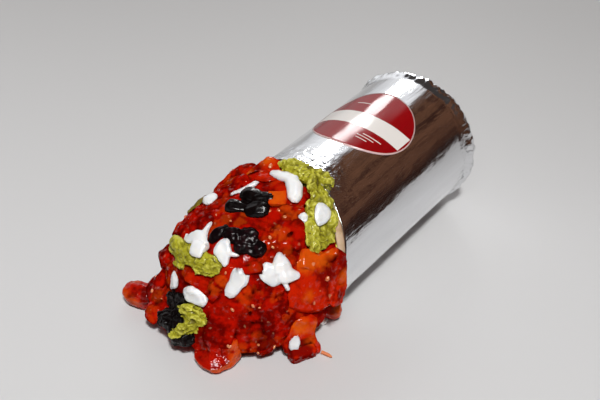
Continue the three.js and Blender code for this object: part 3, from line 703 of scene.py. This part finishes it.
FILLING_CUTS = [
    # from, to, width, thickness in mm, and how far it is orange pepper rather than red tomato
    # behind the shoulder
    ((-28, -4, 63), (-25, -5, 65), 7, 5, 0.05),
    ((-24, -4, 65), (-20, -5, 66), 7, 5, 0.1),
    ((-28, -12, 63), (-15, -13, 68), 4.5, 3.5, 0.9),
    ((-36, -11, 54), (-30, -7, 61), 4, 3, 0.5),
    ((-25, -21, 61), (-18, -18, 65), 8, 4, 0.0),
    ((-28, -14, 60), (-20, -27, 61), 7, 3.5, 0.35),
    ((-3, -8, 69), (3, -12, 68), 5, 3, 0.3),
    ((2, -9, 68), (6, -12, 67), 5, 3, 0.2),
    # the left slope
    ((-30, -36, 53), (-24, -34, 57), 8, 4, 0.05),
    ((-20, -38, 57), (-17, -33, 60), 8, 3.5, 0.0),
    ((-26, -25, 60), (-20, -28, 60), 5, 3, 0.15),
    ((-17, -30, 61), (-11, -38, 58), 5, 3, 0.45),
    ((-15, -39, 58), (-13, -42, 55), 4, 2.5, 0.6),
    # between the beans
    ((-12, -33, 61), (-4, -31, 61), 7, 3, 0.6),
    ((-2, -31, 60), (7, -30, 59), 8, 3.5, 0.0),
    ((5, -29, 61), (9, -30, 58), 5, 3, 0.1),
    ((9, -30, 58), (15, -27, 58), 4.5, 3, 0.8),
    ((13, -18, 63), (13, -28, 57), 5, 3.5, 1.0),
    ((7, -19, 64), (17, -12, 63), 3.5, 3, 0.9),
    # under the mouth
    ((16, -19, 61), (19, -21, 59), 6, 4, 0.05),
    ((19, -22, 58), (22, -25, 53), 6, 4, 0.0),
    ((16, -26, 55), (18, -26, 53), 7, 4, 0.4),
    ((8, -34, 56), (11, -34, 54), 6, 3, 0.3),
    ((12, -30, 56), (15, -30, 54), 5, 3, 0.2),
    ((20, -31, 48), (22, -31, 43), 6, 3, 0.3),
    ((11, -39, 49), (14, -38, 47), 6, 3, 0.2),
    # the front
    ((-1, -49, 46), (3, -49, 45), 6, 3, 0.15),
    ((0, -53, 43), (-4, -55, 37), 5, 3, 0.95),
    ((8, -49, 37), (12, -48, 32), 7, 3.5, 0.65),
    ((13, -47, 35), (21, -39, 35), 6, 3.5, 0.6),
    ((14, -48, 29), (22, -38, 28), 13, 4, 0.0),
    ((20, -42, 26), (22, -41, 14), 12, 4, 0.0),
    ((6, -52, 31), (8, -53, 17), 12, 4, 0.05),
    ((2, -57, 23), (1, -59, 11), 14, 5, 0.0),
    ((-6, -58, 18), (-6, -62, 9), 12, 5, 0.1),
    ((-14, -55, 37), (-8, -55, 36), 7, 4, 0.1),
    # along the foot
    ((24, -37, 25), (26, -34, 21), 6, 3, 0.5),
    ((20, -43, 12), (21, -39, 7), 6, 4, 0.4),
    ((18, -46, 12), (18, -46, 5), 8, 5, 0.1),
    ((10, -54, 9), (14, -49, 9), 6, 3.5, 0.6),
    ((14, -49, 14), (18, -45, 12), 6, 3.5, 0.5),
    # the left foot
    ((-41, -45, 36), (-37, -47, 32), 8, 5, 0.05),
    ((-35, -48, 31), (-30, -51, 30), 8, 4, 0.7),
    ((-29, -51, 35), (-18, -53, 40), 5, 3, 0.75),
    ((-47, -46, 17), (-40, -48, 19), 9, 4, 0.0),
    ((-40, -53, 18), (-37, -53, 17), 6, 4, 0.6),
    ((-36, -51, 18), (-30, -54, 21), 6, 4, 0.5),
    ((-37, -58, 13), (-35, -60, 10), 6, 4, 0.5),
]

PEPPER_CUTS = {
    # from, to, width, thickness in mm
    "pepper_right": [
        ((34, -14, 41), (37, -17, 28), 10, 5),
        ((29, -19, 45), (22, -24, 46), 9, 4),
        ((34, -15, 42), (37.5, -11, 44.5), 5, 2.5),
        ((36, -15, 31), (38, -18, 25), 8, 4),
    ],
    "pepper_front": [((28, -39, 4), (35, -33, 3), 8, 5)],
}


def in_order(parts):
    """Each part once, in the order of their coming, which is the same in every run."""
    return list(dict.fromkeys(parts))


def cut_piece(shape, start, end, width, thickness, rounding=0.3):
    """Adds one chopped piece, half sunk in what lies under it, and returns its corners."""
    normal = level.find_nearest((start + end) / 2)[1]
    along = end - start
    along = along - normal * along.dot(normal)
    length = max(along.length, 1e-6)
    axes = Matrix((along / length, normal.cross(along) / length, normal)).transposed().to_4x4()
    size = Matrix.Diagonal((length + 0.4 * width, width, thickness, 1))
    centre = (start + end) / 2 - normal * thickness * 0.12
    placed = Matrix.Translation(centre) @ axes @ size
    cube = bmesh.ops.create_cube(shape, size=1)
    rounded = bmesh.ops.bevel(
        shape,
        geom=in_order(edge for vert in cube["verts"] for edge in vert.link_edges),
        offset=rounding,
        affect="EDGES",
        segments=3,
        profile=0.5,
        material=-1,
    )
    corners = in_order(vert for face in rounded["faces"] for vert in face.verts)
    for vert in corners:
        vert.co = placed @ (vert.co + 0.14 * noise.noise_vector(vert.co * 1.3 + centre / (2 * MM)))
    return [vert.co.copy() for vert in corners]


def with_cuts(name):
    """A copy of a pepper, with the small pieces that hang on it."""
    shape = copy_of(name)
    for start, end, width, thickness in PEPPER_CUTS.get(name, []):
        cut_piece(shape, at(*start), at(*end), width * MM, thickness * MM, 0.16)
    return shape


SMALL_CUTS = [
    # length, width, thickness in mm, ripeness
    (4.5, 3.6, 2.6, 0.4),
    (6.5, 2.2, 2.0, 0.7),
    (4.0, 3.4, 2.8, 0.0),
]
SMALL_CUT_SHARES = [0.25, 0.2, 0.55]


def add_small_cuts(shape, clear_of, count):
    """Adds up to a count of small chopped pieces, and gives each one's corners and ripeness."""
    faces = [face for face in shape.faces if face.calc_center_median().y < MOUTH_Y + 3 * MM]
    cuts = []
    for point, normal, room in places_on(faces, clear_of, count):
        busy = ease(noise.noise(point / (16 * MM)), -0.25, 0.15) * ease(point.z, 15 * MM, 40 * MM)
        length, width, thickness, ripe = chance.choices(SMALL_CUTS, SMALL_CUT_SHARES)[0]
        if chance.random() > busy:
            continue
        limit = min(1, (room + 1 * MM) / (length * 0.5 * MM)) * chance.uniform(0.8, 1.2)
        heading = Matrix.Rotation(chance.uniform(0, math.tau), 3, normal) @ normal.orthogonal()
        half = heading.normalized() * length * limit * 0.3 * MM
        sides = (width * limit * MM, thickness * limit * MM)
        corners = cut_piece(shape, point - half, point + half, *sides)
        cuts.append((corners, ripe * chance.uniform(0.6, 1.2)))
    return cuts


PALE_SEEDS = [
    # x, y, z in mm
    (4, -23, 64), (7, -20, 64), (2, -22, 64), (10, -31, 57), (12, -32, 54), (-17, -54, 37),
    (-19, -54, 36), (5, -57, 12), (7, -58, 12), (13, -47, 32), (14, -46, 31), (6, -53, 30),
]


def seed_finish():
    look = Finish("seeds", Roughness=0.25, Coat_Weight=0.6, Coat_Roughness=0.1)
    tint = look.mottle(2 * MM)
    look.set("Base Color", look.mix(tint.rise(0.35, 0.65), (0.72, 0.3, 0.12), (0.6, 0.1, 0.03)))
    return look


def add_seed(shape, point, normal, size):
    """A flat oval seed that lies on a surface at a point."""
    seed = bmesh.ops.create_icosphere(shape, subdivisions=2, radius=1)
    turn = normal.to_track_quat("Z", "Y").to_matrix().to_4x4()
    spin = Matrix.Rotation(chance.uniform(0, math.tau), 4, "Z")
    placed = Matrix.Translation(point + normal * 0.25 * MM) @ turn @ spin
    placed = placed @ Matrix.Diagonal((1.3 * size, 0.9 * size, 0.6 * size, 1))
    bmesh.ops.transform(shape, matrix=placed, verts=seed["verts"])


def make_seeds(surface, clear_of, faces):
    """Pale pepper and tomato seeds stuck in the sauce."""
    shape = bmesh.new()
    places = [surface.find_nearest(at(*place))[:2] for place in PALE_SEEDS]
    places += [(point, normal) for point, normal, _ in places_on(faces, clear_of, 50)]
    for point, normal in places:
        add_seed(shape, point, normal, chance.uniform(0.5, 0.9) * MM)
    piece("pale_seeds", shape, seed_finish(), "sauce", "filling")


def make_filling():
    """The spilled heap of chopped pieces under sauce, and the plainer part inside the roll."""
    toppings = bmesh.new()
    for name in TOPPINGS:
        toppings.from_mesh(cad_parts[name].data)
    clear_of = BVHTree.FromBMesh(toppings)
    toppings.free()

    tints = ((0.13, 0.0012, 0.0004), (0.42, 0.005, 0.0008), (0.56, 0.055, 0.003))
    look = sauce_finish("saucy filling", *tints, 0.55)
    heap = cut_across(copy_of("filling"), MOUTH_Y + SPILL_DEPTH, True)
    cuts = add_small_cuts(heap, clear_of, 180)
    for start, end, width, thickness, ripe in FILLING_CUTS:
        corners = cut_piece(heap, at(*start), at(*end), width * MM, thickness * MM)
        cuts.append((corners, ripe))
    owners = [{"ripe": ripe, "tone": chance.uniform(-1, 1)} for _, ripe in cuts]
    places = [(corner, owner) for owner, (corners, _) in enumerate(cuts) for corner in corners]
    nearest = KDTree(len(places))
    for index, (corner, _) in enumerate(places):
        nearest.insert(corner, index)
    nearest.balance()

    heap = even(heap, 0.58 * MM, 9)
    pushed(heap, bumps(4 * MM, 0.4 * MM), bumps(1.3 * MM, 0.07 * MM))

    def from_piece(value):
        """A rule for marked(): a value of the chopped piece that a place belongs to."""

        def rule(place, _):
            _, index, distance = nearest.find(place)
            return owners[places[index][1]][value] * (1 - ease(distance, 0.6 * MM, 1.6 * MM))

        return rule

    def ripeness(place, normal):
        covered = ease(noise.noise(place / (6 * MM)), -0.6, 0.1)
        return from_piece("ripe")(place, normal) * covered

    hollowed(heap, 30, 0.6 * MM)
    marked(heap, "ripe", ripeness)
    marked(heap, "tone", from_piece("tone"))
    marked(heap, "pale", specks(1.6, 0.25))
    surface = BVHTree.FromBMesh(heap)
    front = [face for face in heap.faces if face.calc_center_median().y < MOUTH_Y]
    make_seeds(surface, clear_of, front)
    piece("spilled_filling", heap, look, "sauce", "filling")

    rolled = even(cut_across(copy_of("filling"), MOUTH_Y + SPILL_DEPTH, False), 1.3 * MM, 3)
    hollowed(pushed(rolled, bumps(4 * MM, 0.25 * MM)), 20, 0.8 * MM)
    marked(rolled, "ripe", lambda place, _: ease(noise.noise(place / (6 * MM)), 0, 0.4))
    marked(rolled, "pale", lambda place, _: 0.0)
    piece("rolled_filling", rolled, look, "sauce", "filling")


# ---------------------------------------------------------------- toppings


def make_beans():
    glossy = bean_finish("glossy black beans", (0.003, 0.0015, 0.0015), (0.008, 0.003, 0.003), 0.3)
    dull = bean_finish("mashed black beans", (0.004, 0.0015, 0.002), (0.025, 0.005, 0.007), 0.15)
    for name, look in (("beans_top", glossy), ("beans_middle", dull), ("beans_front", glossy)):
        shape = even(copy_of(name), 0.42 * MM, 4)
        rules = [bumps(5 * MM, 0.5 * MM), bumps(1.5 * MM, 0.14 * MM)]
        if name == "beans_front":
            rules.append(torn(3.5 * MM, 1.5 * MM, (1, 1, 1.8)))
        if name == "beans_middle":
            rules.append(bumps(2.2 * MM, 0.5 * MM))
        piece(name + "_cooked", hollowed(pushed(shape, *rules), 20, 0.5 * MM), look, "beans", name)


def make_guacamole():
    fresh = ((0.22, 0.2, 0.006), (0.5, 0.47, 0.025), (0.76, 0.72, 0.12))
    browned = ((0.08, 0.05, 0.003), (0.2, 0.14, 0.008), (0.3, 0.22, 0.02))
    green = guacamole_finish("mashed avocado", *fresh)
    olive = guacamole_finish("browned avocado", *browned)
    folds = {
        "guacamole_mouth": [
            bumps(7 * MM, 0.8 * MM),
            torn(5 * MM, 2.3 * MM, (0.8, 0.8, 1.6)),
            fold((31, -8, 46), (34, -8, 38), 5, 1.6),
            fold((12, -2, 66), (26, -6, 58), 2.5, -1.8),
        ],
        "guacamole_left": [
            bumps(8 * MM, 1.2 * MM),
            torn(6 * MM, 2.2 * MM, (1.4, 1, 1)),
            fold((-24, -49, 42), (-13, -54, 41), 3, -1.4),
        ],
        "guacamole_patch": [bumps(2 * MM, 0.4 * MM)],
        "guacamole_front": [bumps(5 * MM, 0.8 * MM), torn(4 * MM, 2.2 * MM, (2, 1, 0.9))],
    }
    for name, rules in folds.items():
        shape = hollowed(pushed(even(copy_of(name), 0.42 * MM, 2), *rules), 40, 0.6 * MM)
        look = olive if name == "guacamole_patch" else green
        piece(name + "_mash", shape, look, "guacamole", name)


def make_cream():
    look = cream_finish()
    for name in TOPPINGS:
        if name.startswith("cream_"):
            shape = even(copy_of(name), 0.32 * MM, 8)
            pushed(shape, bumps(3 * MM, 0.35 * MM))
            piece(name + "_spoonful", shape, look, "cream", name)


PEPPER_FLESH = {
    # where the orange flesh shows: x, y, z, radius in mm
    "pepper_right": [
        (24, -24, 47, 6),
        (27, -19, 46, 5),
        (30, -14, 48, 3),
        (28, -28, 31, 2.5),
        (38, -13, 36, 3),
    ],
    "pepper_top": [(-14, 1, 72, 3), (-2, 0, 72, 4), (-20, -8, 67, 3)],
    "pepper_front": [(28, -34, 17, 4), (33, -28, 15, 3), (32, -31, 9, 2)],
    "pepper_cube": [(4, -17, 69, 5)],
    "pepper_strand": [(31, -38, 2, 30)],
}

PEPPER_SHADE = {
    # where shade is painted and the colour is darkest, as above
    "pepper_right": [(36, -11, 44, 5), (33, -16, 42, 5), (32, -20, 38, 4), (35, -17, 29, 4)],
    "pepper_top": [(-18, -6, 67, 5)],
    "pepper_front": [(30, -38, 4, 8)],
}

PEPPER_SEEDS = {"pepper_right": [(33, -19, 37)], "pepper_top": [(-10, -2, 73)]}

PEPPER_FOLDS = {
    "pepper_right": [
        fold((33, -11, 48), (37, -7, 46), 4, 1.4),
        fold((31, -17, 45), (37, -9, 43), 3, -0.3),
        fold((31, -20, 42), (35, -18, 26), 2.5, 0.5),
        fold((36, -12, 26), (34, -18, 22), 5, -1.2),
    ],
    "pepper_top": [
        fold((-16, -4, 70), (-4, -4, 72), 2.5, -1.0),
        fold((-14, 2, 72), (-4, 0, 72), 3, 0.9),
    ],
    "pepper_front": [
        fold((26, -38, 9), (34, -29, 9), 2.2, -0.6),
        fold((27, -34, 20), (32, -30, 19), 3, 0.6),
    ],
}


def shaded(tone, depth, shade):
    """A rule for marked(): a tone that painted shade, itself a rule, makes darker by a depth."""
    return lambda place, normal: tone - depth * shade(place, normal)


def make_peppers():
    tints = ((0.2, 0.003, 0.001), (0.52, 0.014, 0.0012), (0.68, 0.1, 0.004))
    look = sauce_finish("cooked pepper", *tints, 0.5)
    for name in TOPPINGS:
        if name.startswith("pepper_"):
            shape = even(with_cuts(name), 0.35 * MM, 3)
            folds = PEPPER_FOLDS.get(name, [])
            pushed(shape, bumps(5 * MM, 0.3 * MM), bumps(1.6 * MM, 0.1 * MM), *folds)
            hollowed(shape, 25, 0.4 * MM)
            marked(shape, "ripe", spots(*PEPPER_FLESH[name]))
            # painted shade: the tone is made darker in the PEPPER_SHADE spots
            marked(shape, "tone", shaded(1, 2.6, spots(*PEPPER_SHADE.get(name, []))))
            # painted highlight: the pepper strand is made paler all over
            painted_highlight = 0.5 if name == "pepper_strand" else 0.0
            marked(shape, "pale", specks(2, 0.4, 0.62, painted_highlight))
            surface = BVHTree.FromBMesh(shape)
            piece(name + "_cooked", shape, look, "pepper", name)
            for place in PEPPER_SEEDS.get(name, []):
                point, normal, _, _ = surface.find_nearest(at(*place))
                seed = bmesh.new()
                add_seed(seed, point, normal, 1.1 * MM)
                piece(name + "_seed", seed, seed_finish(), "pepper", name)


def make_tomatoes():
    tints = ((0.14, 0.0015, 0.0005), (0.42, 0.006, 0.001), (0.66, 0.08, 0.004))
    look = sauce_finish("cooked tomato", *tints, 0.38)
    pulp = spots((0, -60, 12, 6), (3, -62, 9, 5), ragged=0.2)

    def skin_edge(place, normal):
        edge = 1 - abs(normal.z) + 0.5 * noise.noise(place / (4 * MM))
        return ease(edge, 0.3, 0.75) * (1 - pulp(place, normal))

    def seedy(place, normal):
        return 0.6 * MM * pulp(place, normal) * abs(noise.noise(place / (1.4 * MM)))

    flesh = {
        "tomato_left": spots((-61, -52, 6, 3.5), (-54, -54, 5, 3), (-60, -45, 10, 2)),
        "tomato_front": skin_edge,
        "tomato_side": spots((31, -5, 7, 4)),
    }
    for name, ripe in flesh.items():
        shape = even(copy_of(name), 0.35 * MM, 4)
        pushed(shape, bumps(4 * MM, 0.5 * MM), bumps(1.3 * MM, 0.1 * MM), seedy)
        hollowed(shape, 25, 0.4 * MM)
        marked(shape, "ripe", ripe)
        # painted shade: the right end of tomato_left is made darker
        marked(shape, "tone", shaded(0.4, 3, spots((-47, -48, 9, 5))))
        marked(shape, "pale", specks(1.7, 0.4))
        piece(name + "_cooked", shape, look, "tomato", name)


# ---------------------------------------------------------------- studio


# The table stops close by on the right, so that the foil mirrors the room past its edge
FLOOR_CORNERS = [(-1.6, -1.4), (0.34, -1.4), (0.34, 0.6), (1.7, 2.0), (-1.6, 2.0)]
FLOOR_LEVEL = -0.1 * MM


def make_floor():
    """A pale table whose colour is painted darker away from the light, as painted shade."""
    shape = bmesh.new()
    shape.faces.new([shape.verts.new((x, y, FLOOR_LEVEL)) for x, y in FLOOR_CORNERS])
    mesh = bpy.data.meshes.new("table")
    shape.to_mesh(mesh)
    shape.free()
    table = bpy.data.objects.new("table", mesh)
    bpy.context.scene.collection.objects.link(table)
    look = Finish("pale table", Roughness=0.6, Specular_IOR_Level=0.3)
    x, y = look.parts(look.place, 2)
    # painted shade: the colour darkens towards the back and the left
    away = (y - 0.3 * x).rise(-0.15, 0.5)
    look.set("Base Color", look.mix(away, (0.67, 0.67, 0.67), (0.38, 0.375, 0.37)))
    mesh.materials.append(look.material)


def make_world():
    """A pale wall behind on the left and a warm dark one on the right, for the foil to mirror."""
    world = bpy.data.worlds.new("room")
    bpy.context.scene.world = world
    world.use_nodes = True
    world.node_tree.nodes.clear()
    graph = Graph(world.node_tree)
    direction = graph.node("ShaderNodeTexCoord")
    x, y, z = graph.parts(direction, 3)
    turn = graph.maths("ARCTAN2", x, y) * math.degrees(1)
    height = graph.maths("ARCSINE", z) * math.degrees(1)
    wall = graph.ramp(
        height * (1 / 60),
        (0.0, (0.6, 0.6, 0.61)),
        (0.25, (0.85, 0.85, 0.86)),
        (0.5, (1.1, 1.1, 1.11)),
        (0.7, (0.85, 0.85, 0.87)),
        (0.85, (0.4, 0.4, 0.41)),
    )
    brown = graph.ramp(
        (height + 12) * (1 / 60),
        (0.0, (0.09, 0.05, 0.045)),
        (0.1, (0.015, 0.008, 0.008)),
        (0.22, (0.012, 0.006, 0.006)),
        (0.35, (0.1, 0.044, 0.026)),
        (0.9, (0.145, 0.064, 0.034)),
    )
    clouds = graph.node("ShaderNodeTexNoise", {}, {"Vector": direction, "Scale": 7, "Detail": 3})
    brown = graph.mix(clouds.rise(0.38, 0.58), (0.03, 0.012, 0.008), brown)
    behind = turn.rise(-95, -70) * turn.fall(-15, 3) * height.fall(48, 56)
    right = turn.rise(-16, 2) * turn.fall(80, 120) * height.fall(46, 54)
    room = graph.mix(behind, (0.045, 0.038, 0.036), wall)
    room = graph.mix(right, room, brown)
    # Past the table the room itself shows as a plain backdrop
    straight = graph.node("ShaderNodeLightPath")
    colour = graph.mix(straight, room, (0.58, 0.58, 0.585))
    background = graph.node("ShaderNodeBackground", {}, {"Color": colour, "Strength": 1.0})
    output = world.node_tree.nodes.new("ShaderNodeOutputWorld")
    world.node_tree.links.new(background.socket, output.inputs["Surface"])


def towards(turn, height):
    """The direction at a turn (right of +Y) and a height in degrees."""
    a, e = math.radians(turn), math.radians(height)
    return Vector((math.sin(a) * math.cos(e), math.cos(a) * math.cos(e), math.sin(e)))


LIGHTS_AIM = at(0, 20, 35)


def lamp(name, kind, direction, distance, **settings):
    """A light that faces the burrito from a direction."""
    data = bpy.data.lights.new(name, kind)
    for setting, value in settings.items():
        setattr(data, setting, value)
    light = bpy.data.objects.new(name, data)
    light.location = LIGHTS_AIM + direction * distance
    light.rotation_euler = direction.to_track_quat("Z", "Y").to_euler()
    bpy.context.scene.collection.objects.link(light)
    return light


SOFTBOX_DISTANCE = 0.9


def softbox(name, turn, height, width, depth, brightness):
    energy = brightness * math.pi * width * depth
    size = {"shape": "RECTANGLE", "size": width, "size_y": depth}
    return lamp(name, "AREA", towards(turn, height), SOFTBOX_DISTANCE, energy=energy, **size)


def make_lights():
    key = lamp("key", "SUN", towards(138, 56), 2, energy=2.75, angle=math.radians(6))
    key.visible_glossy = False  # the shines below stand for its reflection
    softbox("softbox front", 152, 50, 0.25, 0.25, 5)
    for shine in (
        softbox("shine behind", -28, 31, 0.17, 0.24, 15),
        softbox("shine right", 132, 50, 0.4, 0.32, 32),
    ):
        shine.visible_diffuse = False  # only for foil and wet surfaces to mirror


CAMERA_PLACE = MOUTH + Vector((0.283998, -0.401613, 0.392859))
CAMERA_TURN, CAMERA_HEIGHT = 180 - 34.832, 34.442  # where it stands, in degrees as for the lights


def make_camera():
    """The view from the right and above onto the open end."""
    data = bpy.data.cameras.new("camera")
    data.sensor_width = 36
    data.lens = 78
    data.clip_start = 0.01
    camera = bpy.data.objects.new("camera", data)
    camera.location = CAMERA_PLACE
    back = towards(CAMERA_TURN, CAMERA_HEIGHT)
    camera.rotation_euler = back.to_track_quat("Z", "Y").to_euler()
    bpy.context.scene.collection.objects.link(camera)
    bpy.context.scene.camera = camera


make_foil()
make_tortilla()
make_label()
make_filling()
make_beans()
make_guacamole()
make_cream()
make_peppers()
make_tomatoes()
make_floor()
make_world()
make_lights()
make_camera()

bpy.context.scene.view_settings.view_transform = "Standard"
